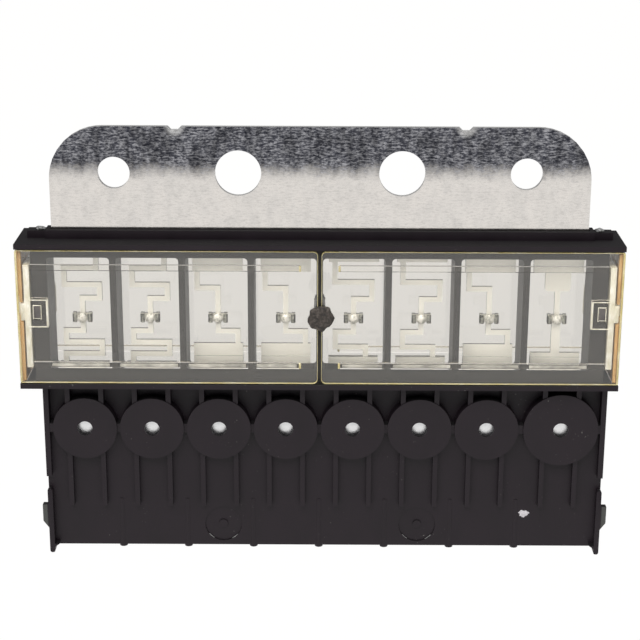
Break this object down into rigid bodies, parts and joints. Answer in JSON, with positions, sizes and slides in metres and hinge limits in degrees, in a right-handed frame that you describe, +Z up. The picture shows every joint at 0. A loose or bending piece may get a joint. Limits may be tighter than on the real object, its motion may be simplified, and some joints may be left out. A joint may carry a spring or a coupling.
{
  "type": "fuse box panel",
  "caption": "Flat panel of fusible links in windows under clear covers, with a bolt-on busbar above, studs behind a ribbed resin skirt and spring fingers at the sides.",
  "frame": {"origin": "midway along the line of the busbar's four holes, on the busbar's rear face", "axes": "+X along the busbar to the right as seen from the front, +Y to the rear where the studs point, +Z up"},
  "size_m": [0.1584, 0.026, 0.1183],
  "materials": {
    "black_resin": "satin glass-filled moulding",
    "tinned_alloy": "mottled dull tin plate on copper alloy",
    "plated_steel": "bright zinc plate",
    "tin": "cast tin",
    "amber_clear": "clear amber-tinted moulding",
    "melted_resin": "rough melted head"
  },
  "bodies": {
    "panel": {"housing": "black_resin", "conductor": "tinned_alloy", "heat_stake": "melted_resin", "front_cover_left": "amber_clear", "front_cover_right": "amber_clear", "rear_cover_left": "amber_clear", "rear_cover_right": "amber_clear", "stud_bolt_1": "plated_steel", "stud_bolt_2": "plated_steel", "stud_bolt_3": "plated_steel", "stud_bolt_4": "plated_steel", "stud_bolt_5": "plated_steel", "stud_bolt_6": "plated_steel", "stud_bolt_7": "plated_steel", "stud_bolt_8": "plated_steel", "tin_pellet_1": "tin", "tin_pellet_2": "tin", "tin_pellet_3": "tin", "tin_pellet_4": "tin", "tin_pellet_5": "tin", "tin_pellet_6": "tin", "tin_pellet_7": "tin", "tin_pellet_8": "tin"},
    "finger_left": {"latch_finger_left": "black_resin"},
    "finger_right": {"latch_finger_right": "black_resin"}
  },
  "joints": [
    {"name": "finger_left_flex", "type": "hinge", "parent": "panel", "child": "finger_left", "pos_m": [-0.0733, -0.0048, -0.1036], "axis": [0, 1, 0], "range_deg": [0, 6], "stiffness_Nm_per_rad": 0.6},
    {"name": "finger_right_flex", "type": "hinge", "parent": "panel", "child": "finger_right", "pos_m": [0.0764, -0.0048, -0.1036], "axis": [0, -1, 0], "range_deg": [0, 6], "stiffness_Nm_per_rad": 0.6}
  ]
}
